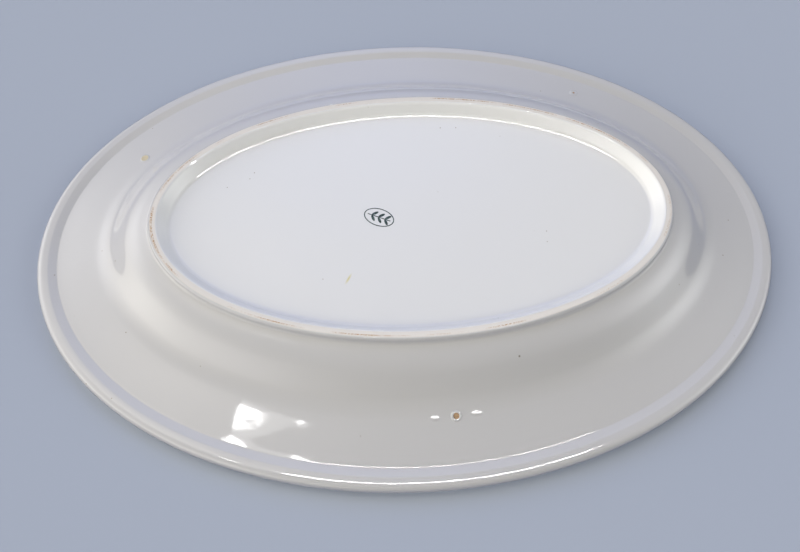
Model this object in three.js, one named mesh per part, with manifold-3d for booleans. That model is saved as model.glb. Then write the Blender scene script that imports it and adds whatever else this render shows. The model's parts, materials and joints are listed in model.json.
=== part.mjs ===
import * as THREE from "three";
import { mergeVertices } from "three/addons/utils/BufferGeometryUtils.js";
import Module from "manifold-3d";

// An oval serving platter of thick vitrified china, in millimetres, with +Z up.
// It stands on its foot ring. The long axis is X, and the origin is in the plane of the foot's
// bearing edge, under the middle of the well.
//
// Every ring of the ware is an ellipse set in from the outer edge by the same amount all round, so
// one section describes it all. A section point is (out, z): out is 0 at the outer edge and
// negative inside it, and z is the height above the foot's bearing edge.

// Overall size
const length = 343;
const width = 236;
const height = 28;

// Flange, wall and well
const bodyThickness = 5.2;
const floorThickness = 5.2;
const flangeWidth = 32.2;
const flangeTilt = THREE.MathUtils.degToRad(11.3);
const wallRun = 14.4;
const bellyRun = 8.3;
const bellyTilt = THREE.MathUtils.degToRad(14);
const bendRadius = 19;
const bellyRadius = 20;
const vergeRadius = 14;
const wellRadius = 22;

// Rolled rim, a bead on the underside of the flange's edge
const rimFlat = 6.5;
const rollWidth = 7.6;
const rollProud = 1.15;
const rollStep = 1.3;
const rollFall = 0.45;
const rollStepRadius = 0.9;
const rollRadius = 3.3;
const rimRadius = 3.2;
const rimInnerRadius = 6;

// Foot ring and the base inside it
const footHeight = 3;
const footWidth = 4;
const footDraft = 0.3;
const footOuterRadius = 1.3;
const footInnerRadius = 1.6;
const footJoinRadius = 1.6;
const recessDepth = 5;
const recessRun = 3.7;
const recessRadius = 2.5;

// Glaze, and the gap that keeps two touching solids apart
const glazeThickness = 0.3;
const gap = 0.05;

// Kiln pin marks under the flange: where round the oval, and how far in from the edge
const pinMarks = [
  { angle: -150, inset: 24.7 },
  { angle: -53, inset: 19.6 },
  { angle: 86, inset: 27.8 },
];
const pinMarkEdge = { radius: 2.4, height: 0 };
const pinMarkShoulder = { radius: 2.15, height: 0.28 };
const pinMarkCrest = { radius: 1.6, height: 0.45 };
const pinMarkPit = { radius: 1.1, height: 0.2 };

// Backstamp: a sprig in an oval ring
const stampLength = 14;
const stampWidth = 9;
const stampLine = 0.6;
const stampInk = 0.12;
const stampPlace = new THREE.Vector2(-16.2, 1.7);
const stampTurn = THREE.MathUtils.degToRad(25);
const leafPairs = 3;
const leafLength = 3.2;
const leafWidth = 1.3;
const leafTilt = THREE.MathUtils.degToRad(50);
const leafStart = 0.6;

// Fineness of the faceted solids, the share of a side that an arc may take up, and the distance
// within which two corners are one
const around = 64;
const arcStep = THREE.MathUtils.degToRad(30);
const pinMarkSides = 16;
const ringSides = 20;
const leafSides = 6;
const arcRoom = 0.48;
const weld = 1e-4;

const ware = new THREE.MeshStandardMaterial({ color: "#e9e2d3", roughness: 0.75, metalness: 0 });
const glaze = new THREE.MeshStandardMaterial({ color: "#f1f1ee", roughness: 0.12, metalness: 0 });
const ink = new THREE.MeshStandardMaterial({ color: "#2f5a43", roughness: 0.35, metalness: 0 });
const scar = new THREE.MeshStandardMaterial({ color: "#b59a72", roughness: 0.8, metalness: 0 });

const wasm = await Module();
wasm.setup();

// Height of the flange's upper and under faces at a distance in from the outer edge.
function flangeTop(inset) {
  return height - (inset - rimFlat) * Math.tan(flangeTilt);
}

function flangeUnder(inset) {
  return flangeTop(inset) - bodyThickness / Math.cos(flangeTilt);
}

// Corners of the finished section, from the base's middle out under the ware, over the rim and
// back in along the eating side. The wall's upper face lies one thickness above its under face.
function sectionCorners() {
  const bend = { inset: flangeWidth, z: flangeUnder(flangeWidth) };
  const belly = { inset: flangeWidth + wallRun, z: footHeight + bellyRun * Math.tan(bellyTilt) };
  const wallTilt = Math.atan2(bend.z - belly.z, wallRun);
  const wallTopAtBend = bend.z + bodyThickness / Math.cos(wallTilt);
  const slopeGap = Math.tan(wallTilt) - Math.tan(flangeTilt);
  const verge = flangeWidth + (wallTopAtBend - flangeTop(flangeWidth)) / slopeGap;
  const wellFloor = recessDepth + floorThickness;
  const well = flangeWidth + (wallTopAtBend - wellFloor) / Math.tan(wallTilt);
  const join = belly.inset + bellyRun;
  const foot = join + footDraft;
  const step = { inset: rollWidth, z: flangeUnder(rollWidth) };
  const rollInner = { inset: rollWidth - rollStep, z: step.z - rollProud };
  return [
    { name: "base_middle", inset: width / 2, z: recessDepth, radius: 0 },
    { name: "base_edge", inset: foot + footWidth + recessRun, z: recessDepth, radius: recessRadius },
    { name: "foot_inner", inset: foot + footWidth, z: 0, radius: footInnerRadius },
    { name: "foot_outer", inset: foot, z: 0, radius: footOuterRadius },
    { name: "foot_join", inset: join, z: footHeight, radius: footJoinRadius },
    { name: "belly", ...belly, radius: bellyRadius },
    { name: "bend", ...bend, radius: bendRadius },
    { name: "roll_step", ...step, radius: rollStepRadius },
    { name: "roll_inner", ...rollInner, radius: rollStepRadius },
    { name: "roll_outer", inset: 0, z: rollInner.z - rollFall, radius: rollRadius },
    { name: "rim_outer", inset: 0, z: height, radius: rimRadius },
    { name: "rim_inner", inset: rimFlat, z: height, radius: rimInnerRadius },
    { name: "verge", inset: verge, z: flangeTop(verge), radius: vergeRadius },
    { name: "well", inset: well, z: wellFloor, radius: wellRadius },
    { name: "well_middle", inset: width / 2, z: wellFloor, radius: 0 },
  ];
}

// Turns the corners into section points, with an arc at each corner. A radius is limited by the
// shorter of the two sides that meet there.
function roundedSection(corners) {
  const named = (point, name) => Object.assign(point, { name });
  const points = corners.map(({ name, inset, z }) => named(new THREE.Vector2(-inset, z), name));
  const rounded = [points[0]];
  for (let i = 1; i < corners.length - 1; i++) {
    const back = points[i - 1].clone().sub(points[i]);
    const ahead = points[i + 1].clone().sub(points[i]);
    const room = Math.min(back.length(), ahead.length()) * arcRoom;
    back.normalize();
    ahead.normalize();
    const halfTurn = (Math.PI - Math.acos(back.dot(ahead))) / 2;
    const tangent = Math.min(corners[i].radius * Math.tan(halfTurn), room);
    const radius = tangent / Math.tan(halfTurn);
    const bisector = back.clone().add(ahead).normalize();
    const centre = points[i].clone().addScaledVector(bisector, radius / Math.cos(halfTurn));
    const start = points[i].clone().addScaledVector(back, tangent).sub(centre);
    const side = Math.sign(start.cross(points[i].clone().sub(centre)));
    const steps = Math.max(2, Math.ceil((2 * halfTurn) / arcStep));
    for (let step = 0; step <= steps; step++) {
      const turned = start.clone().rotateAround(new THREE.Vector2(), (side * 2 * halfTurn * step) / steps);
      rounded.push(named(turned.add(centre), points[i].name));
    }
  }
  rounded.push(points.at(-1));
  return rounded;
}

// Moves a section into the ware by a depth, square to its surface.
function sunk(section, depth) {
  return section.map((point, i) => {
    const before = section[Math.max(i - 1, 0)];
    const after = section[Math.min(i + 1, section.length - 1)];
    const into = (a, b) => new THREE.Vector2(a.y - b.y, b.x - a.x).normalize();
    const first = i > 0 ? into(before, point) : into(point, after);
    const second = i < section.length - 1 ? into(point, after) : first;
    const miter = first.clone().add(second).normalize();
    return point.clone().addScaledVector(miter, depth / miter.dot(first));
  });
}

// One closed body from a section that starts and ends on the vertical axis. The section runs
// with the material on its left, so its faces point out. Each four-cornered facet is split along
// its shorter diagonal, so skins that follow each other are split alike and never cross.
function ovalSolid(section) {
  const points = [new THREE.Vector3(0, 0, section[0].y)];
  const rings = section.slice(1, -1);
  for (const ring of rings) {
    for (let step = 0; step < around; step++) {
      const angle = (2 * Math.PI * step) / around;
      const across = (length / 2 + ring.x) * Math.cos(angle);
      const along = (width / 2 + ring.x) * Math.sin(angle);
      points.push(new THREE.Vector3(across, along, ring.y));
    }
  }
  points.push(new THREE.Vector3(0, 0, section.at(-1).y));
  const index = (ring, step) => 1 + ring * around + (step % around);
  const span = (a, b) => points[a].distanceTo(points[b]);
  const triangles = [];
  for (let step = 0; step < around; step++) {
    triangles.push(0, index(0, step + 1), index(0, step));
    for (let ring = 0; ring < rings.length - 1; ring++) {
      const [a, b] = [index(ring, step), index(ring, step + 1)];
      const [c, d] = [index(ring + 1, step + 1), index(ring + 1, step)];
      triangles.push(...(span(a, c) < span(b, d) ? [a, b, c, a, c, d] : [a, b, d, b, c, d]));
    }
    triangles.push(points.length - 1, index(rings.length - 1, step), index(rings.length - 1, step + 1));
  }
  const geometry = new THREE.BufferGeometry().setFromPoints(points);
  geometry.setIndex(triangles);
  geometry.computeVertexNormals();
  return geometry;
}

// The last and first section points that carry glaze on the two sides of the foot's bare edge:
// the glaze is wiped off to the middle of each shoulder's arc.
function glazeEnds(section) {
  const placesOf = (name) => [...section.keys()].filter((i) => section[i].name === name);
  const inner = placesOf("foot_inner");
  const outer = placesOf("foot_outer");
  return {
    base: inner[Math.floor((inner.length - 1) / 2)],
    coat: outer[Math.ceil((outer.length - 1) / 2)],
  };
}

// Fired clay body: everything under the glaze, and the bare edge of the foot.
function chinaBody(section, ends) {
  const clay = sunk(section, glazeThickness + gap);
  const bareEdge = section.slice(ends.base + 1, ends.coat);
  return ovalSolid([...clay.slice(0, ends.base + 1), ...bareEdge, ...clay.slice(ends.coat)]);
}

// Glaze over the outside, the rim and the eating side.
function glazeCoat(section, ends) {
  const inside = sunk(section, glazeThickness).slice(ends.coat).reverse();
  return ovalSolid([...inside, ...section.slice(ends.coat)]);
}

// Glaze on the base, inside the foot ring.
function baseGlaze(section, ends) {
  const inside = sunk(section, glazeThickness).slice(0, ends.base + 1).reverse();
  return ovalSolid([...section.slice(0, ends.base + 1), ...inside]);
}

// A small raised ring of glaze round a rough pit, turned about the Y axis.
function pinMark() {
  const corners = [pinMarkEdge, pinMarkShoulder, pinMarkCrest, pinMarkPit];
  const profile = corners.map(({ radius, height }) => new THREE.Vector2(radius, height));
  profile.unshift(new THREE.Vector2(0, 0));
  profile.push(new THREE.Vector2(0, pinMarkPit.height));
  return new THREE.LatheGeometry(profile, pinMarkSides);
}

// Height of the ware's underside at a distance in from the outer edge.
function undersideHeight(section, inset) {
  const i = section.findIndex((point) => -point.x < inset);
  const share = (-inset - section[i - 1].x) / (section[i].x - section[i - 1].x);
  return THREE.MathUtils.lerp(section[i - 1].y, section[i].y, share);
}

// Seats a pin mark on the underside of the flange, across the two places that its edge rests on.
function placePinMark(mesh, section, { angle, inset }) {
  const turn = THREE.MathUtils.degToRad(angle);
  const across = length / 2 - inset;
  const along = width / 2 - inset;
  const outerHeight = undersideHeight(section, inset - pinMarkEdge.radius);
  const innerHeight = undersideHeight(section, inset + pinMarkEdge.radius);
  const tilt = Math.atan2(outerHeight - innerHeight, 2 * pinMarkEdge.radius);
  const outward = new THREE.Vector3(Math.cos(turn) / across, Math.sin(turn) / along, 0).normalize();
  const normal = outward.multiplyScalar(Math.sin(tilt)).setZ(-Math.cos(tilt));
  mesh.position.set(across * Math.cos(turn), along * Math.sin(turn), (outerHeight + innerHeight) / 2);
  mesh.position.addScaledVector(normal, 2 * gap);
  mesh.quaternion.setFromUnitVectors(new THREE.Vector3(0, 1, 0), normal);
}

// A closed three.js geometry as a solid that can be joined to others.
function asSolid(geometry) {
  geometry.deleteAttribute("normal");
  geometry.deleteAttribute("uv");
  const merged = mergeVertices(geometry, weld);
  const vertProperties = Float32Array.from(merged.getAttribute("position").array);
  const triVerts = Uint32Array.from(merged.index.array);
  return new wasm.Manifold(new wasm.Mesh({ numProp: 3, vertProperties, triVerts }));
}

function asGeometry(solid) {
  const mesh = solid.getMesh();
  const geometry = new THREE.BufferGeometry();
  geometry.setAttribute("position", new THREE.BufferAttribute(mesh.vertProperties, 3));
  geometry.setIndex(new THREE.BufferAttribute(mesh.triVerts, 1));
  geometry.computeVertexNormals();
  return geometry;
}

// The printed mark: an oval ring, a stem from end to end of it, and pairs of leaves on the stem.
function backstamp() {
  const printed = { depth: stampInk, bevelEnabled: false };
  const fullTurn = 2 * Math.PI;
  const ring = new THREE.Shape().absellipse(0, 0, stampLength / 2, stampWidth / 2, 0, fullTurn);
  const opening = new THREE.Path();
  opening.absellipse(0, 0, stampLength / 2 - stampLine, stampWidth / 2 - stampLine, 0, fullTurn);
  ring.holes.push(opening);
  const ringPrint = new THREE.ExtrudeGeometry(ring, { ...printed, curveSegments: ringSides });
  const stem = new THREE.BoxGeometry(stampLength - stampLine, stampLine, stampInk);
  stem.translate(0, 0, stampInk / 2);
  let mark = asSolid(ringPrint).add(asSolid(stem));
  const leafGap = (stampLength - 2 * stampLine) / (leafPairs + 1);
  for (let pair = 0; pair < leafPairs; pair++) {
    for (const side of [-1, 1]) {
      const root = (pair + leafStart - leafPairs / 2) * leafGap;
      const tilt = side * leafTilt;
      const middleX = root + (Math.cos(tilt) * leafLength) / 2;
      const middleY = (Math.sin(tilt) * leafLength) / 2;
      const leaf = new THREE.Shape();
      leaf.absellipse(middleX, middleY, leafLength / 2, leafWidth / 2, 0, fullTurn, false, tilt);
      const leafPrint = new THREE.ExtrudeGeometry(leaf, { ...printed, curveSegments: leafSides });
      mark = mark.add(asSolid(leafPrint));
    }
  }
  return asGeometry(mark);
}

function piece(name, geometry, material) {
  const mesh = new THREE.Mesh(geometry, material);
  mesh.name = name;
  return mesh;
}

const section = roundedSection(sectionCorners());
const ends = glazeEnds(section);

const group = new THREE.Group();
group.add(piece("china_body", chinaBody(section, ends), ware));
group.add(piece("glaze_coat", glazeCoat(section, ends), glaze));
group.add(piece("base_glaze", baseGlaze(section, ends), glaze));

const stamp = piece("backstamp", backstamp(), ink);
stamp.position.set(stampPlace.x, stampPlace.y, recessDepth - gap - stampInk);
stamp.rotation.z = stampTurn;
group.add(stamp);

pinMarks.forEach((place, i) => {
  const mark = piece(`pin_mark_${i + 1}`, pinMark(), scar);
  placePinMark(mark, section, place);
  group.add(mark);
});

export default group;
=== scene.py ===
import json
from math import atan2, ceil, cos, dist, pi, radians, sin, tan

import bpy
import numpy as np
from mathutils import Matrix, Vector

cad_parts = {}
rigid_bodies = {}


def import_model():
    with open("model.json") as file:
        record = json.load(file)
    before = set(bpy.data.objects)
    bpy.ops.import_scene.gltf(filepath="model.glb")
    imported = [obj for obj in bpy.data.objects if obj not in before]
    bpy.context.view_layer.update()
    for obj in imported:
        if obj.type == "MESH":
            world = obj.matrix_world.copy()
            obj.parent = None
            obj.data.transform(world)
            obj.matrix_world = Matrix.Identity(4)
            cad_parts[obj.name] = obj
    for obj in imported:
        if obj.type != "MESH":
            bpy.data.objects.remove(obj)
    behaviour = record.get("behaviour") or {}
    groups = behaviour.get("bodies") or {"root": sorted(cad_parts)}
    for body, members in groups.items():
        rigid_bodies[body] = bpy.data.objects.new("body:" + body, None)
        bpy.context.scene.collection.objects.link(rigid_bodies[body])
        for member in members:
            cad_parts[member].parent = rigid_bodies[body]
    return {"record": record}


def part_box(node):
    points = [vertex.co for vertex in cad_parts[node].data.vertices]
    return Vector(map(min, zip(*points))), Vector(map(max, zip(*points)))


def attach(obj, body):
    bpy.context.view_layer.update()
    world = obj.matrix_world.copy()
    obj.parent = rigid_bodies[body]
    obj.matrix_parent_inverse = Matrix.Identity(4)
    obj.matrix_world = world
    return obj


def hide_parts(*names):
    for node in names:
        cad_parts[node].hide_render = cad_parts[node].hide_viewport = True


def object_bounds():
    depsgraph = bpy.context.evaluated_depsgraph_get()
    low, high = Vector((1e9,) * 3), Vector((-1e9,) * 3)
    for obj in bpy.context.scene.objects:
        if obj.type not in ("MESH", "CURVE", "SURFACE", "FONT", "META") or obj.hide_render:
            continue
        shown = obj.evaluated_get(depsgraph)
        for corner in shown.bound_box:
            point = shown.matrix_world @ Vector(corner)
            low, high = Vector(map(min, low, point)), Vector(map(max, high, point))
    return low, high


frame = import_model()
cad_low, cad_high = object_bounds()


# The ware: one piece of thick vitrified china, pressed in an oval mould and fired. Its section is
# run round the oval ring by ring, from the base's middle out over the foot, flange and rolled rim,
# and back to the middle of the well. Clay and glaze are then parted from this one shape.
mm = 0.001
half_length = (cad_high.x - cad_low.x) / 2
half_width = (cad_high.y - cad_low.y) / 2
height = cad_high.z - cad_low.z
mounts = {mount["name"]: mount for mount in frame["record"]["mounts"]}
well_height = mounts["well_floor"]["pos_m"][2]
base_inset = 0.05 * mm
_, base_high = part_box("base_glaze")
base_height = base_high.z - base_inset
around = 288
widest_band = 4 * mm
arc_cuts = 6
centre_bands = 12
ring_tolerance = 1e-4
level_tolerance = 0.002 * mm
uneven_scale = 28 * mm
unevenness = 0.16 * mm

# Each corner of the section: inset from the rim's outline, height, radius of the round. It is the
# CAD's section, with a gentler step between the flange and the rim.
corners = [
    (63.0 * mm, base_height, 2.5 * mm),
    (59.2 * mm, 0.0, 1.6 * mm),
    (55.2 * mm, 0.0, 1.3 * mm),
    (54.9 * mm, 3.0 * mm, 1.6 * mm),
    (46.6 * mm, 5.07 * mm, 20 * mm),
    (32.2 * mm, 17.56 * mm, 19 * mm),
    (9.2 * mm, 22.16 * mm, 1.5 * mm),
    (5.5 * mm, 21.26 * mm, 4 * mm),
    (0.0, 20.88 * mm, 3.3 * mm),
    (0.0, height, 3.2 * mm),
    (6.5 * mm, height, 6 * mm),
    (34.4 * mm, 22.43 * mm, 14 * mm),
    (48.5 * mm, well_height, 22 * mm),
]
base_end = (72 * mm, base_height, 0.0)
well_end = (64 * mm, well_height, 0.0)


def use_only(piece):
    bpy.ops.object.select_all(action="DESELECT")
    piece.select_set(True)
    bpy.context.view_layer.objects.active = piece


def tangent_length(before, corner, after):
    """How far from a corner its round begins."""
    back = atan2(before[1] - corner[1], before[0] - corner[0])
    ahead = atan2(after[1] - corner[1], after[0] - corner[0])
    turn = pi - abs((ahead - back + pi) % (2 * pi) - pi)
    return corner[2] * tan(turn / 2)


def extrude_ring(start, end):
    """Draws the open edge of the ware on from one place of the section to the next."""
    bpy.ops.mesh.extrude_region_move()
    across = (half_length - end[0]) / (half_length - start[0])
    along = (half_width - end[0]) / (half_width - start[0])
    bpy.ops.transform.resize(value=(across, along, 1), center_override=(0, 0, start[1]))
    bpy.ops.transform.translate(value=(0, 0, end[1] - start[1]))


def select_oval(piece, inset, level):
    """Selects the edges that run round the ware at one place of its section."""
    mesh = piece.data
    spots = np.empty(3 * len(mesh.vertices))
    mesh.vertices.foreach_get("co", spots)
    x, y, z = spots.reshape(-1, 3).T
    ring = (x / (half_length - inset)) ** 2 + (y / (half_width - inset)) ** 2
    on_ring = (abs(ring - 1) < ring_tolerance) & (abs(z - level) < level_tolerance)
    ends = np.empty(2 * len(mesh.edges), int)
    mesh.edges.foreach_get("vertices", ends)
    chosen = on_ring[ends.reshape(-1, 2)].all(axis=1)
    mesh.vertices.foreach_set("select", on_ring)
    mesh.edges.foreach_set("select", chosen)
    mesh.polygons.foreach_set("select", np.zeros(len(mesh.polygons), bool))


bpy.ops.object.select_all(action="DESELECT")
bpy.ops.mesh.primitive_circle_add(vertices=around, radius=1, fill_type="TRIFAN")
ware = bpy.context.object
ware.name = "ware"
inner = 1 / centre_bands
bpy.ops.object.mode_set(mode="EDIT")
bpy.context.tool_settings.mesh_select_mode = (False, True, False)
middle = (half_length - base_end[0], half_width - base_end[0])
bpy.ops.transform.resize(value=(middle[0] * inner, middle[1] * inner, 1), center_override=(0, 0, 0))
bpy.ops.transform.translate(value=(0, 0, base_height))
bpy.ops.mesh.select_all(action="SELECT")
bpy.ops.mesh.region_to_loop()
for band in range(1, centre_bands):
    grow = (band + 1) / band
    bpy.ops.mesh.extrude_region_move()
    bpy.ops.transform.resize(value=(grow, grow, 1), center_override=(0, 0, base_height))
path = [base_end, *corners, well_end]
tangents = [0.0]
tangents += [tangent_length(*path[i - 1 : i + 2]) for i in range(1, len(path) - 1)]
tangents += [0.0]
for i in range(len(path) - 1):
    start, end = path[i], path[i + 1]
    length = dist(start[:2], end[:2])
    straight = length - tangents[i] - tangents[i + 1]
    bands = ceil(straight / widest_band)
    last = start
    for step in range(1, bands):
        share = (tangents[i] + straight * step / bands) / length
        place = (start[0] + share * (end[0] - start[0]), start[1] + share * (end[1] - start[1]))
        extrude_ring(last, place)
        last = place
    extrude_ring(last, end)
for band in range(centre_bands, 1, -1):
    shrink = (band - 1) / band
    bpy.ops.mesh.extrude_region_move()
    bpy.ops.transform.resize(value=(shrink, shrink, 1), center_override=(0, 0, well_height))
bpy.ops.mesh.extrude_region_move()
bpy.ops.mesh.merge(type="CENTER")
for corner, tangent in zip(corners, tangents[1:-1]):
    bpy.ops.object.mode_set(mode="OBJECT")
    select_oval(ware, corner[0], corner[1])
    bpy.ops.object.mode_set(mode="EDIT")
    bpy.ops.mesh.bevel(offset=tangent, offset_type="OFFSET", segments=arc_cuts, profile=0.5)
bpy.ops.mesh.select_all(action="SELECT")
bpy.ops.mesh.normals_make_consistent(inside=False)
bpy.ops.mesh.faces_shade_smooth()
bpy.ops.object.mode_set(mode="OBJECT")

# Pressing and firing leave the ware very slightly uneven.
uneven = bpy.data.textures.new("uneven", "CLOUDS")
uneven.noise_scale = uneven_scale
uneven.noise_depth = 1
displace = ware.modifiers.new("uneven", "DISPLACE")
displace.texture = uneven
displace.texture_coords = "LOCAL"
displace.strength = unevenness
displace.mid_level = 0.5
bpy.ops.object.modifier_apply(modifier="uneven")


# The vitrified body: cream fired clay under the glaze. It shows only where the glaze is wiped off
# the foot's bearing edge, which is matt and finely grained, with an ochre stain from use.
glaze_thickness = 0.3 * mm
bare_outer = 56.05 * mm
bare_inner = 58.75 * mm
clearance = 0.05 * mm
bare_below = 2 * mm
foot_inset = 57.3 * mm
recess_margin = 1 * mm
clay_color = "#D6D1C8"
stain_color = "#A67F4E"
stain_inset = 56.9 * mm
stain_half_width = 0.45 * mm / half_width


def linear(code):
    """sRGB hex to linear colour, with alpha 1."""
    shares = [int(code[i : i + 2], 16) / 255 for i in (1, 3, 5)]
    return [c / 12.92 if c <= 0.04045 else ((c + 0.055) / 1.055) ** 2.4 for c in shares] + [1.0]


def add_node(material, kind, settings={}, links={}):
    """Adds a node, sets its attributes or inputs, and joins outputs of other nodes to its inputs."""
    node = material.node_tree.nodes.new(kind)
    for key, value in settings.items():
        if isinstance(key, str) and hasattr(node, key) and key not in node.inputs:
            setattr(node, key, value)
        else:
            node.inputs[key].default_value = value
    for key, output in links.items():
        material.node_tree.links.new(output, node.inputs[key])
    return node


def new_material(name):
    material = bpy.data.materials.new(name)
    material.use_nodes = True
    material.node_tree.nodes.clear()
    return material


def noise(material, spot, size, detail):
    """Adds a noise on the piece's own coordinates, with patches of about one size."""
    return add_node(
        material,
        "ShaderNodeTexNoise",
        {"Scale": 1 / size, "Detail": detail},
        {"Vector": spot.outputs["Object"]},
    )


def ramp(material, value, zero_at, one_at):
    """Turns a value into a share that goes from 0 to 1 between two limits."""
    limits = {"From Min": zero_at, "From Max": one_at}
    return add_node(material, "ShaderNodeMapRange", limits, {"Value": value})


def select_faces(piece, wanted):
    """Selects the faces of a piece whose centre meets a test on x, y and z."""
    mesh = piece.data
    centres = np.empty(3 * len(mesh.polygons))
    mesh.polygons.foreach_get("center", centres)
    chosen = wanted(*centres.reshape(-1, 3).T)
    mesh.vertices.foreach_set("select", np.zeros(len(mesh.vertices), bool))
    mesh.edges.foreach_set("select", np.zeros(len(mesh.edges), bool))
    mesh.polygons.foreach_set("select", chosen)


def bare(x, y, z):
    past_outer = (x / (half_length - bare_outer)) ** 2 + (y / (half_width - bare_outer)) ** 2 < 1
    short_of_inner = (x / (half_length - bare_inner)) ** 2 + (y / (half_width - bare_inner)) ** 2 > 1
    return past_outer & short_of_inner & (z < bare_below)


def in_foot(x, y, z):
    ring = (x / (half_length - foot_inset)) ** 2 + (y / (half_width - foot_inset)) ** 2
    return (ring < 1) & (z < base_height + recess_margin)


def copied(piece, name):
    use_only(piece)
    bpy.ops.object.duplicate()
    twin = bpy.context.object
    twin.name = name
    twin.modifiers.clear()
    return twin


bpy.context.tool_settings.mesh_select_mode = (False, False, True)
clay = copied(ware, "china_body_ware")
select_faces(clay, bare)
bpy.ops.object.mode_set(mode="EDIT")
bpy.ops.mesh.select_all(action="INVERT")
bpy.context.tool_settings.mesh_select_mode = (True, False, False)
bpy.ops.mesh.select_less()
bpy.ops.transform.shrink_fatten(value=-glaze_thickness - clearance)
bpy.ops.object.mode_set(mode="OBJECT")

# Ground clay gives the eye a matt edge with fine grain, and its stain a worn and broken line.
vitrified = new_material("vitrified china, bare and ground")
spot = add_node(vitrified, "ShaderNodeTexCoord")
grain = noise(vitrified, spot, 0.7 * mm, 3.0)
patch = noise(vitrified, spot, 24 * mm, 3.0)
unit_oval = add_node(
    vitrified,
    "ShaderNodeMapping",
    {"Scale": (1 / (half_length - stain_inset), 1 / (half_width - stain_inset), 0.0)},
    {"Vector": spot.outputs["Object"]},
)
across_foot = add_node(
    vitrified,
    "ShaderNodeVectorMath",
    {"operation": "LENGTH"},
    {0: unit_oval.outputs[0]},
)
off_line = add_node(
    vitrified,
    "ShaderNodeMath",
    {"operation": "SUBTRACT", 1: 1.0},
    {0: across_foot.outputs["Value"]},
)
distance_off = add_node(vitrified, "ShaderNodeMath", {"operation": "ABSOLUTE"}, {0: off_line.outputs[0]})
line = ramp(vitrified, distance_off.outputs[0], stain_half_width * 1.6, stain_half_width * 0.4)
worn_patch = ramp(vitrified, patch.outputs["Fac"], 0.47, 0.60)
broken_grain = ramp(vitrified, grain.outputs["Fac"], 0.40, 0.56)
stained_patch = add_node(
    vitrified,
    "ShaderNodeMath",
    {"operation": "MULTIPLY"},
    {0: line.outputs[0], 1: worn_patch.outputs[0]},
)
stain = add_node(
    vitrified,
    "ShaderNodeMath",
    {"operation": "MULTIPLY"},
    {0: stained_patch.outputs[0], 1: broken_grain.outputs[0]},
)
clay_tone = add_node(
    vitrified,
    "ShaderNodeMix",
    {"data_type": "RGBA", 6: linear(clay_color), 7: linear(stain_color)},
    {0: stain.outputs[0]},
)
clay_bump = add_node(
    vitrified,
    "ShaderNodeBump",
    {"Strength": 0.5, "Distance": 0.05 * mm},
    {"Height": grain.outputs["Fac"]},
)
clay_shader = add_node(
    vitrified,
    "ShaderNodeBsdfPrincipled",
    {"Roughness": 0.55, "IOR": 1.5},
    {"Base Color": clay_tone.outputs[2], "Normal": clay_bump.outputs["Normal"]},
)
add_node(vitrified, "ShaderNodeOutputMaterial", {}, {"Surface": clay_shader.outputs[0]})
clay.data.materials.clear()
clay.data.materials.append(vitrified)
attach(clay, "root")
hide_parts("china_body")


# The glaze coat: clear glossy glaze over the white body, fired on in one go with it. It covers the
# eating side, the rim and the outside down to the foot's outer shoulder, where it was wiped off.
# It lies in faint ripples and draws up into a bead along the wiped edge.
# The coat's glaze colour is set darker than the base's, as painted shade on the flange and wall.
coat_glaze_shaded_color = "#CDCCC9"
base_glaze_lit_color = "#DFDFDC"
edge_bead = 0.08 * mm
ripple_height = 0.07 * mm
ripple_scale = 9 * mm
swell_height = 0.20 * mm
speck_color = "#93866F"
glaze_flow = bpy.data.textures.new("glaze_flow", "CLOUDS")
glaze_flow.noise_scale = ripple_scale

coat = copied(ware, "glaze_coat_ware")
select_faces(coat, lambda x, y, z: bare(x, y, z) | in_foot(x, y, z))
bpy.ops.object.mode_set(mode="EDIT")
bpy.context.tool_settings.mesh_select_mode = (False, False, True)
bpy.ops.mesh.delete(type="FACE")
bpy.ops.object.mode_set(mode="OBJECT")


def give_thickness(piece, thickness):
    """Raises a bead along a skin's edge, ripples the skin and thickens it inward to a closed film."""
    use_only(piece)
    bpy.ops.object.mode_set(mode="EDIT")
    bpy.context.tool_settings.mesh_select_mode = (True, False, False)
    bpy.ops.mesh.select_all(action="DESELECT")
    bpy.ops.mesh.select_non_manifold()
    bpy.ops.transform.shrink_fatten(value=edge_bead)
    bpy.ops.object.mode_set(mode="OBJECT")
    ripple = piece.modifiers.new("ripple", "DISPLACE")
    ripple.texture = glaze_flow
    ripple.texture_coords = "LOCAL"
    ripple.strength = ripple_height
    ripple.mid_level = 0.5
    bpy.ops.object.modifier_apply(modifier="ripple")
    solidify = piece.modifiers.new("thickness", "SOLIDIFY")
    solidify.thickness = thickness
    solidify.offset = -1
    solidify.use_rim = True
    bpy.ops.object.modifier_apply(modifier="thickness")


give_thickness(coat, glaze_thickness)


def oval_patch(material, spot, middle, turn, half_size):
    """Gives 1 in the middle of a small oval patch and falls to 0 at its edge."""
    place = add_node(
        material,
        "ShaderNodeMapping",
        {"vector_type": "TEXTURE", "Location": middle, "Rotation": (0, 0, turn), "Scale": half_size},
        {"Vector": spot.outputs["Object"]},
    )
    reach = add_node(material, "ShaderNodeVectorMath", {"operation": "LENGTH"}, {0: place.outputs[0]})
    return add_node(
        material,
        "ShaderNodeMapRange",
        {"interpolation_type": "SMOOTHSTEP", "From Min": 1.0, "From Max": 0.0},
        {"Value": reach.outputs["Value"]},
    )


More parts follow.
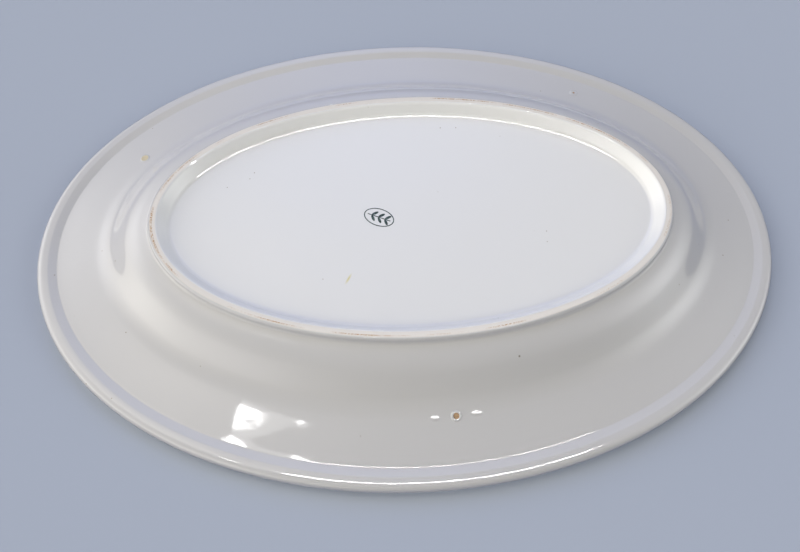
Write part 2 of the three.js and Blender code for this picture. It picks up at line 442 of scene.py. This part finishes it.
def glazed(name, color, swells, fleck):
    """Makes the clear glaze over white clay, with swells of thick glaze and one coloured fleck."""
    material = new_material(name)
    spot = add_node(material, "ShaderNodeTexCoord")
    flow = noise(material, spot, 18 * mm, 1.0)
    orange_peel = noise(material, spot, 2.2 * mm, 1.0)
    bump = add_node(
        material,
        "ShaderNodeBump",
        {"Strength": 1.0, "Distance": 0.08 * mm},
        {"Height": flow.outputs["Fac"]},
    )
    bump = add_node(
        material,
        "ShaderNodeBump",
        {"Strength": 1.0, "Distance": 0.004 * mm},
        {"Height": orange_peel.outputs["Fac"], "Normal": bump.outputs["Normal"]},
    )
    for middle, turn, half_size in swells:
        swell = oval_patch(material, spot, middle, turn, half_size)
        bump = add_node(
            material,
            "ShaderNodeBump",
            {"Strength": 1.0, "Distance": swell_height},
            {"Height": swell.outputs[0], "Normal": bump.outputs["Normal"]},
        )
    specks = add_node(
        material,
        "ShaderNodeTexVoronoi",
        {"Scale": 1 / (6 * mm)},
        {"Vector": spot.outputs["Object"]},
    )
    speck = ramp(material, specks.outputs["Distance"], 0.055, 0.03)
    few = ramp(material, flow.outputs["Fac"], 0.57, 0.60)
    speckled = add_node(
        material,
        "ShaderNodeMath",
        {"operation": "MULTIPLY"},
        {0: speck.outputs[0], 1: few.outputs[0]},
    )
    tone = add_node(
        material,
        "ShaderNodeMix",
        {"data_type": "RGBA", 6: linear(color), 7: linear(speck_color)},
        {0: speckled.outputs[0]},
    )
    middle, turn, half_size, fleck_color = fleck
    fleck_patch = oval_patch(material, spot, middle, turn, half_size)
    tone = add_node(
        material,
        "ShaderNodeMix",
        {"data_type": "RGBA", 7: linear(fleck_color)},
        {0: fleck_patch.outputs[0], 6: tone.outputs[2]},
    )
    shader = add_node(
        material,
        "ShaderNodeBsdfPrincipled",
        {"Roughness": 0.04, "IOR": 1.5},
        {"Base Color": tone.outputs[2], "Normal": bump.outputs["Normal"]},
    )
    add_node(material, "ShaderNodeOutputMaterial", {}, {"Surface": shader.outputs[0]})
    return material


front_low, front_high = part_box("pin_mark_3")
front_mark = (front_low + front_high) / 2
coat_swells = [
    (front_mark + Vector((8.5 * mm, -0.6 * mm, 0)), 0.0, (3.2 * mm, 1.3 * mm, 9 * mm)),
    (front_mark + Vector((-8.8 * mm, 0.4 * mm, 0)), 0.0, (2.4 * mm, 1.4 * mm, 9 * mm)),
]
iron_spot = (Vector((37 * mm, 70 * mm, 7 * mm)), 0.0, (0.7 * mm, 0.6 * mm, 6 * mm), "#6E6250")
# Clear glaze gives the eye its gloss, and its slow swells and fine orange peel bend reflections.
glaze = glazed("clear glaze on white china", coat_glaze_shaded_color, coat_swells, iron_spot)
coat.data.materials.clear()
coat.data.materials.append(glaze)
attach(coat, "root")
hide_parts("glaze_coat")


# The base glaze: the same glaze inside the foot ring, parted from the rest by the bare edge.
base = copied(ware, "base_glaze_ware")
select_faces(base, lambda x, y, z: ~bare(x, y, z) & in_foot(x, y, z))
bpy.ops.object.mode_set(mode="EDIT")
bpy.ops.mesh.select_all(action="INVERT")
bpy.ops.mesh.delete(type="FACE")
bpy.ops.object.mode_set(mode="OBJECT")
give_thickness(base, glaze_thickness)
base.data.materials.clear()
# The base's glaze is painted lighter than the coat's, as painted light on the base, and the streak in it is
# a trace of iron.
streak_middle = Vector((-31 * mm, 31.5 * mm, 5 * mm))
faint_streak = (streak_middle, radians(-60), (3.6 * mm, 0.8 * mm, 6 * mm), "#D2C98F")
base_glaze_painted_lighter = glazed("clear glaze on the base, painted lighter", base_glaze_lit_color, [], faint_streak)
base.data.materials.append(base_glaze_painted_lighter)
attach(base, "root")
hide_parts("base_glaze")
bpy.data.objects.remove(ware)


# The backstamp: a sprig in an oval ring, printed in dark green ceramic colour on the base and
# fired on. It is a very thin film that follows the glaze under it.
stamp_low, stamp_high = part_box("backstamp")
stamp_middle = (stamp_low + stamp_high) / 2
stamp_length = 14 * mm
stamp_width = 9 * mm
stamp_line = 0.45 * mm
stamp_turn = radians(25)
leaf_length = 3.3 * mm
leaf_width = 1.25 * mm
leaf_tilt = radians(48)
leaf_pairs = 3
leaf_gap = 0.15 * mm
leaf_spacing = 3.1 * mm
first_leaf = 0.35
stem_margin = 3.2 * mm
print_start = 0.5 * mm
print_lift = 0.02 * mm
ink_thickness = 0.03 * mm
ink_color = "#27392F"
thin_ink_color = "#5C7163"

bpy.ops.object.select_all(action="DESELECT")
bpy.ops.mesh.primitive_circle_add(vertices=64, radius=1)
stamp = bpy.context.object
stamp.name = "backstamp_print"
bpy.ops.object.mode_set(mode="EDIT")
bpy.ops.transform.resize(value=(stamp_length / 2, stamp_width / 2, 1), center_override=(0, 0, 0))
bpy.ops.mesh.extrude_region_move()
inward = (1 - 2 * stamp_line / stamp_length, 1 - 2 * stamp_line / stamp_width, 1)
bpy.ops.transform.resize(value=inward, center_override=(0, 0, 0))
bpy.ops.mesh.primitive_plane_add(size=1, location=(0, 0, 0))
stem_length = stamp_length - stem_margin
bpy.ops.transform.resize(value=(stem_length, stamp_line, 1), center_override=(0, 0, 0))
bpy.ops.mesh.subdivide(number_cuts=6)
for pair in range(leaf_pairs):
    root = (pair - leaf_pairs / 2 + first_leaf) * leaf_spacing
    for side in (-1, 1):
        bpy.ops.mesh.primitive_circle_add(vertices=12, radius=1, fill_type="TRIFAN", location=(0, 0, 0))
        shape = (leaf_length / 2, leaf_width / 2, 1)
        bpy.ops.transform.resize(value=shape, center_override=(0, 0, 0))
        bpy.ops.transform.translate(value=(leaf_length / 2 + leaf_gap, 0, 0))
        bpy.ops.transform.rotate(value=-side * leaf_tilt, orient_axis="Z", center_override=(0, 0, 0))
        bpy.ops.transform.translate(value=(root, 0, 0))
bpy.ops.mesh.select_all(action="SELECT")
bpy.ops.transform.rotate(value=-stamp_turn, orient_axis="Z", center_override=(0, 0, 0))
bpy.ops.transform.translate(value=(stamp_middle.x, stamp_middle.y, base_height - print_start))
bpy.ops.mesh.normals_make_consistent(inside=False)
bpy.ops.object.mode_set(mode="OBJECT")
lay_on = stamp.modifiers.new("lay_on", "SHRINKWRAP")
lay_on.target = base
lay_on.wrap_method = "NEAREST_SURFACEPOINT"
lay_on.offset = print_lift
bpy.ops.object.modifier_apply(modifier="lay_on")
film = stamp.modifiers.new("film", "SOLIDIFY")
film.thickness = ink_thickness
film.offset = 0
bpy.ops.object.modifier_apply(modifier="film")

# Fired ink gives the eye a soft gloss, and is paler in patches where the print is thin.
ceramic_ink = new_material("fired green ceramic ink")
spot = add_node(ceramic_ink, "ShaderNodeTexCoord")
print_grain = noise(ceramic_ink, spot, 0.8 * mm, 2.0)
thin_print = ramp(ceramic_ink, print_grain.outputs["Fac"], 0.5, 0.68)
ink_tone = add_node(
    ceramic_ink,
    "ShaderNodeMix",
    {"data_type": "RGBA", 6: linear(ink_color), 7: linear(thin_ink_color)},
    {0: thin_print.outputs[0]},
)
ink_shader = add_node(
    ceramic_ink,
    "ShaderNodeBsdfPrincipled",
    {"Roughness": 0.25, "IOR": 1.5},
    {"Base Color": ink_tone.outputs[2]},
)
add_node(ceramic_ink, "ShaderNodeOutputMaterial", {}, {"Surface": ink_shader.outputs[0]})
stamp.data.materials.append(ceramic_ink)
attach(stamp, "root")
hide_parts("backstamp")


# The three pin marks: where the pins of the kiln furniture held the glazed ware, each left a ring
# of glaze drawn up round a small scar. One is modelled, and a copy is seated at each place. The
# first is the flattest and flooded with glaze, the second has a small scar, the third is clearest.
# Each ring of a mark: radius, height over the glaze.
pin_rings = [
    (2.40 * mm, -0.10 * mm),
    (2.25 * mm, 0.06 * mm),
    (2.05 * mm, 0.22 * mm),
    (1.80 * mm, 0.33 * mm),
    (1.60 * mm, 0.36 * mm),
    (1.42 * mm, 0.30 * mm),
    (1.28 * mm, 0.17 * mm),
    (1.15 * mm, 0.08 * mm),
    (0.60 * mm, 0.12 * mm),
]
scar_color = "#B08A58"
scar_dark_color = "#7A5C3A"
healed_color = "#CFC3A2"

bpy.ops.object.select_all(action="DESELECT")
bpy.ops.mesh.primitive_circle_add(vertices=40, radius=pin_rings[0][0], location=(0, 0, pin_rings[0][1]))
pin = bpy.context.object
bpy.ops.object.mode_set(mode="EDIT")
bpy.ops.mesh.select_all(action="SELECT")
bpy.ops.mesh.edge_face_add()
bpy.ops.mesh.flip_normals()
bpy.context.tool_settings.mesh_select_mode = (False, True, False)
for before, after in zip(pin_rings, pin_rings[1:]):
    if before is pin_rings[0]:
        bpy.ops.mesh.region_to_loop()
    bpy.ops.mesh.extrude_region_move()
    shrink = after[0] / before[0]
    bpy.ops.transform.resize(value=(shrink, shrink, 1), center_override=(0, 0, before[1]))
    bpy.ops.transform.translate(value=(0, 0, after[1] - before[1]))
bpy.ops.mesh.extrude_region_move()
bpy.ops.mesh.merge(type="CENTER")
bpy.ops.mesh.select_all(action="SELECT")
bpy.ops.mesh.normals_make_consistent(inside=False)
bpy.ops.mesh.faces_shade_smooth()
bpy.ops.object.mode_set(mode="OBJECT")

# A rough scar gives the eye matt ochre crumbs, darker here and there.
scar = new_material("rough pin scar")
spot = add_node(scar, "ShaderNodeTexCoord")
crumbs = noise(scar, spot, 0.8 * mm, 3.0)
scar_mix = ramp(scar, crumbs.outputs["Fac"], 0.42, 0.62)
scar_tone = add_node(
    scar,
    "ShaderNodeMix",
    {"data_type": "RGBA", 6: linear(scar_color), 7: linear(scar_dark_color)},
    {0: scar_mix.outputs[0]},
)
scar_bump = add_node(
    scar,
    "ShaderNodeBump",
    {"Strength": 1.0, "Distance": 0.15 * mm},
    {"Height": crumbs.outputs["Fac"]},
)
scar_shader = add_node(
    scar,
    "ShaderNodeBsdfPrincipled",
    {"Roughness": 0.6, "IOR": 1.5},
    {"Base Color": scar_tone.outputs[2], "Normal": scar_bump.outputs["Normal"]},
)
add_node(scar, "ShaderNodeOutputMaterial", {}, {"Surface": scar_shader.outputs[0]})
pin.data.materials.append(glaze)
# A flooded scar is pale and glossy, because glaze has run over it.
healed = new_material("pin scar flooded with glaze")
healed_shader = add_node(
    healed,
    "ShaderNodeBsdfPrincipled",
    {"Base Color": linear(healed_color), "Roughness": 0.12, "IOR": 1.5},
)
add_node(healed, "ShaderNodeOutputMaterial", {}, {"Surface": healed_shader.outputs[0]})

# Number, height against the full ring, radius of the scar, and what it is made of.
pin_marks = [
    (1, 0.3, 1.7 * mm, healed),
    (2, 0.5, 0.8 * mm, scar),
    (3, 1.0, 1.3 * mm, scar),
]
for number, rise, scar_radius, inside in pin_marks:
    node = f"pin_mark_{number}"
    pin_low, pin_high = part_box(node)
    mark = copied(pin, f"{node}_scar")
    mark.data.materials.append(inside)
    for face in mark.data.polygons:
        face.material_index = int(face.center.xy.length < scar_radius and face.center.z > 0)
    _, seat, outward, _ = coat.closest_point_on_mesh((pin_low + pin_high) / 2)
    stood_up = outward.to_track_quat("Z", "Y").to_matrix().to_4x4()
    mark.matrix_world = Matrix.Translation(seat) @ stood_up @ Matrix.Diagonal((1, 1, rise, 1))
    bpy.ops.object.transform_apply(location=True, rotation=True, scale=True)
    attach(mark, "root")
    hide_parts(node)
bpy.data.objects.remove(pin)


# The stage: the table that the platter lies on upside down, seen from below, a blue cloth round the
# rim that only colours the light on the ware, and the pale stand and backdrop it is seen against
# upright. Table and stand are each seen from their own side only.
turned_over = Matrix.Translation((0, 0, height)) @ Matrix.Rotation(pi, 4, "X")
shadow_reach = 1.22
shadow_core = 0.55
shadow_depth = 0.45
stage_size = 12
backdrop_radius = 5.5
cloth_reach = 30
table_gap = 0.2 * mm
cloth_gap = 0.3 * mm
table_color = "#B2BAC6"
cloth_color = "#2F4C86"
room_color = "#BFC5CB"


def seen_from_front(name, shader_kind, settings):
    """Makes a stage material that is clear from behind, and gives it with its painted shader."""
    material = new_material(name)
    side = add_node(material, "ShaderNodeNewGeometry")
    clear = add_node(material, "ShaderNodeBsdfTransparent")
    painted = add_node(material, shader_kind, settings)
    mixed = add_node(
        material,
        "ShaderNodeMixShader",
        {},
        {0: side.outputs["Backfacing"], 1: painted.outputs[0], 2: clear.outputs[0]},
    )
    add_node(material, "ShaderNodeOutputMaterial", {}, {"Surface": mixed.outputs[0]})
    return material, painted


def only_seen_by_camera(piece):
    piece.visible_shadow = False
    piece.visible_diffuse = False
    piece.visible_glossy = False
    piece.visible_transmission = False


def turn_face_down(piece):
    """Turns the faces of a flat sheet down, unless they already look down."""
    if piece.data.polygons[0].normal.z > 0:
        bpy.ops.object.mode_set(mode="EDIT")
        bpy.ops.mesh.select_all(action="SELECT")
        bpy.ops.mesh.flip_normals()
        bpy.ops.object.mode_set(mode="OBJECT")


bpy.ops.object.select_all(action="DESELECT")
bpy.ops.mesh.primitive_plane_add(size=stage_size, location=(0, 0, height + table_gap))
table = bpy.context.object
table.name = "table"
turn_face_down(table)
table_top, _ = seen_from_front("table", "ShaderNodeBsdfDiffuse", {"Color": linear(table_color)})
table.data.materials.append(table_top)
only_seen_by_camera(table)

bpy.ops.object.select_all(action="DESELECT")
bpy.ops.mesh.primitive_circle_add(vertices=96, radius=1, location=(0, 0, height + cloth_gap))
cloth = bpy.context.object
cloth.name = "cloth"
bpy.ops.object.mode_set(mode="EDIT")
bpy.ops.transform.resize(value=(half_length, half_width, 1), center_override=(0, 0, 0))
bpy.ops.mesh.extrude_region_move()
bpy.ops.transform.resize(value=(cloth_reach, cloth_reach, 1), center_override=(0, 0, 0))
bpy.ops.mesh.select_all(action="SELECT")
bpy.ops.mesh.normals_make_consistent(inside=False)
bpy.ops.object.mode_set(mode="OBJECT")
turn_face_down(cloth)
blue_cloth, _ = seen_from_front("cloth", "ShaderNodeBsdfDiffuse", {"Color": linear(cloth_color)})
cloth.data.materials.append(blue_cloth)
cloth.visible_camera = False
cloth.visible_shadow = False

bpy.ops.object.select_all(action="DESELECT")
bpy.ops.mesh.primitive_plane_add(size=stage_size, location=(0, 0, -table_gap))
stand = bpy.context.object
stand.name = "stand"
# The stand glows evenly pale, and its glow is turned down in an oval under the ware as a painted soft
# shadow.
pale, paint = seen_from_front("stand", "ShaderNodeEmission", {})
spot = add_node(pale, "ShaderNodeTexCoord")
under_ware = add_node(
    pale,
    "ShaderNodeMapping",
    {"vector_type": "TEXTURE", "Scale": (half_length * shadow_reach, half_width * shadow_reach, 1.0)},
    {"Vector": spot.outputs["Object"]},
)
reach = add_node(pale, "ShaderNodeVectorMath", {"operation": "LENGTH"}, {0: under_ware.outputs[0]})
painted_soft_shadow = add_node(
    pale,
    "ShaderNodeMapRange",
    {
        "interpolation_type": "SMOOTHSTEP",
        "From Min": shadow_core,
        "From Max": 1.0,
        "To Min": 1 - shadow_depth,
        "To Max": 1.0,
    },
    {"Value": reach.outputs["Value"]},
)
pale.node_tree.links.new(painted_soft_shadow.outputs[0], paint.inputs["Strength"])
paint.inputs["Color"].default_value = linear(room_color)
stand.data.materials.append(pale)
only_seen_by_camera(stand)

bpy.ops.object.select_all(action="DESELECT")
bpy.ops.mesh.primitive_uv_sphere_add(segments=32, ring_count=16, radius=backdrop_radius)
backdrop = bpy.context.object
backdrop.name = "backdrop"
wall = new_material("backdrop")
wall_paint = add_node(wall, "ShaderNodeEmission", {"Color": linear(room_color)})
add_node(wall, "ShaderNodeOutputMaterial", {}, {"Surface": wall_paint.outputs[0]})
backdrop.data.materials.append(wall)
only_seen_by_camera(backdrop)


# The light: soft broad sources all round, given as azimuth and elevation in degrees, tightness and
# colour. Those over the turned-over ware are kept from the upright one by their height, so each
# side has a set of its own. Azimuth 0 is in front and 90 to the right. The turned-over set began
# as the rounded result of a least-squares solve, and most of its strengths were then set one by one.
lights_turned_over = [
    (240, 66, 24, (3.75, 3.5, 3.0)),
    (320, 7, 12, (2.6, 2.55, 2.6)),
    (180, 45, 20, (0.95, 1.2, 2.3)),
    (180, 8, 10, (0.15, 0.3, 0.85)),
    (240, 25, 16, (3.3, 3.3, 3.4)),
    (80, 25, 16, (3.9, 3.95, 4.0)),
    (280, 7, 12, (3.6, 3.5, 3.3)),
]
lights_upright = [
    (320, 50, 6, (3.0, 3.0, 2.95)),
    (90, 35, 5, (1.3, 1.32, 1.38)),
    (200, 30, 5, (1.0, 1.02, 1.07)),
]


def towards(azimuth, elevation):
    across, rise = radians(azimuth), radians(elevation)
    return Vector((sin(across) * cos(rise), -cos(across) * cos(rise), sin(rise)))


world = bpy.data.worlds.new("pale room")
world.use_nodes = True
background = world.node_tree.nodes["Background"]
sight = add_node(world, "ShaderNodeTexCoord")
total = None
for lights, frame_turn in ((lights_turned_over, turned_over.to_3x3()), (lights_upright, Matrix.Identity(3))):
    for azimuth, elevation, tightness, color in lights:
        aim = frame_turn @ towards(azimuth, elevation)
        facing = add_node(
            world,
            "ShaderNodeVectorMath",
            {"operation": "DOT_PRODUCT", 1: aim},
            {0: sight.outputs["Generated"]},
        )
        front = add_node(
            world,
            "ShaderNodeMath",
            {"operation": "MAXIMUM", 1: 0.0},
            {0: facing.outputs["Value"]},
        )
        soft = add_node(
            world,
            "ShaderNodeMath",
            {"operation": "POWER", 1: tightness},
            {0: front.outputs[0]},
        )
        glow = add_node(
            world,
            "ShaderNodeVectorMath",
            {"operation": "MULTIPLY", 1: color},
            {0: soft.outputs[0]},
        )
        if total is None:
            total = glow
        else:
            total = add_node(
                world,
                "ShaderNodeVectorMath",
                {"operation": "ADD"},
                {0: total.outputs[0], 1: glow.outputs[0]},
            )
world.node_tree.links.new(total.outputs[0], background.inputs["Color"])
background.inputs["Strength"].default_value = 1.0
bpy.context.scene.world = world
bpy.context.scene.view_settings.view_transform = "Standard"

# Lamps and windows over the turned-over ware: two bright panes with a dim one between and a long
# strip that only show in the gloss, and a window in front that lights the inside of the foot ring.
# Each has its middle, its tilt to the back, its size across and along, and its brightness.
panes = [
    ("big_pane", (-1.33, -0.44, 4.0), 0, 0.24, 0.17, 30),
    ("small_pane", (-0.76, -0.56, 4.0), 0, 0.20, 0.13, 25),
    ("dim_pane", (-1.12, -0.50, 4.0), 0, 0.70, 0.26, 2.5),
    ("ceiling_strip", (0.45, -0.22, 4.0), 0, 2.5, 0.28, 85),
    ("front_window", (0.0, -0.92, 0.77), 50, 0.60, 0.30, 4.4),
]
for name, middle, tilt, across, along, brightness in panes:
    pane_data = bpy.data.lights.new(name, "AREA")
    pane_data.shape = "RECTANGLE"
    pane_data.size = across
    pane_data.size_y = along
    pane_data.energy = brightness * pi * across * along
    pane = bpy.data.objects.new(name, pane_data)
    bpy.context.collection.objects.link(pane)
    place = Matrix.Translation(middle) @ Matrix.Rotation(radians(tilt), 4, "X")
    pane.matrix_world = turned_over @ place
    pane.visible_diffuse = name == "front_window"
lit_by_window = bpy.data.collections.new("lit_by_window")
lit_by_window.objects.link(base)
lit_by_window.objects.link(clay)
bpy.data.objects["front_window"].light_linking.receiver_collection = lit_by_window


# The camera looks up at the underside, as at a platter that lies upside down on a table.
camera_data = bpy.data.cameras.new("camera")
camera_data.sensor_width = 36
camera_data.lens = 30.6
camera_data.clip_start = 0.01
camera = bpy.data.objects.new("camera", camera_data)
bpy.context.collection.objects.link(camera)
camera_elevation = radians(63.159)
camera_azimuth = radians(-7.747)
camera_roll = radians(3.934)
camera_distance = 325.12 * mm
aim_right = -5.985 * mm
aim_up = -18.265 * mm
orbit = (
    Matrix.Rotation(camera_azimuth, 4, "Z")
    @ Matrix.Rotation(pi / 2 - camera_elevation, 4, "X")
    @ Matrix.Rotation(camera_roll, 4, "Z")
    @ Matrix.Translation((aim_right, aim_up, camera_distance))
)
camera.matrix_world = turned_over @ orbit
bpy.context.scene.camera = camera
